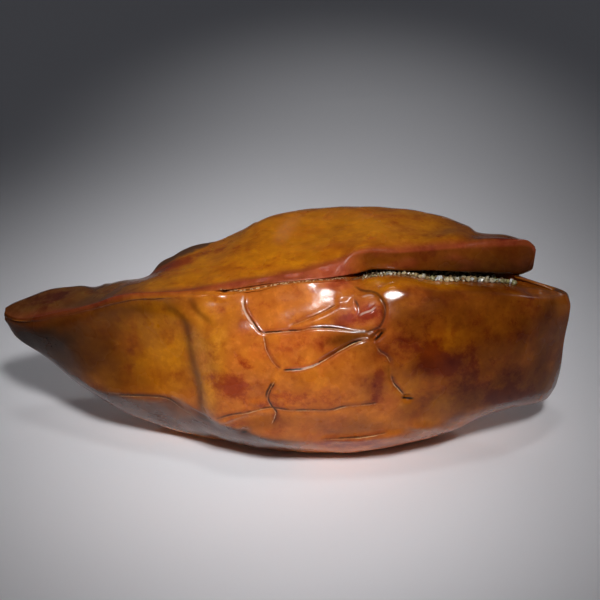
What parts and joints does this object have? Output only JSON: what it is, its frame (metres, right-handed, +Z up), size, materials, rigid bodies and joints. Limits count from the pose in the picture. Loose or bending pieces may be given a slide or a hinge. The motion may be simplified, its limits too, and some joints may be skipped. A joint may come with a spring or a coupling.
{
  "type": "raw agate nodule",
  "caption": "Boat-shaped raw agate nodule with a glossy cracked skin, an overhanging upper slab and a crevice lined with crystal grit, cut level underneath.",
  "frame": {"origin": "on the flat resting face under the belly, near its centre", "axes": "+Z up, +X along the stone toward the blunt end, -Y toward the face with the crevice"},
  "size_m": [0.1425, 0.0615, 0.0567],
  "materials": {
    "agate": "glossy, waxy orange-brown with pale cracks",
    "crevice_grit": "pale sugary crystal grains"
  },
  "bodies": {
    "root": {"agate": "agate", "crevice_grit": "crevice_grit"}
  },
  "joints": []
}
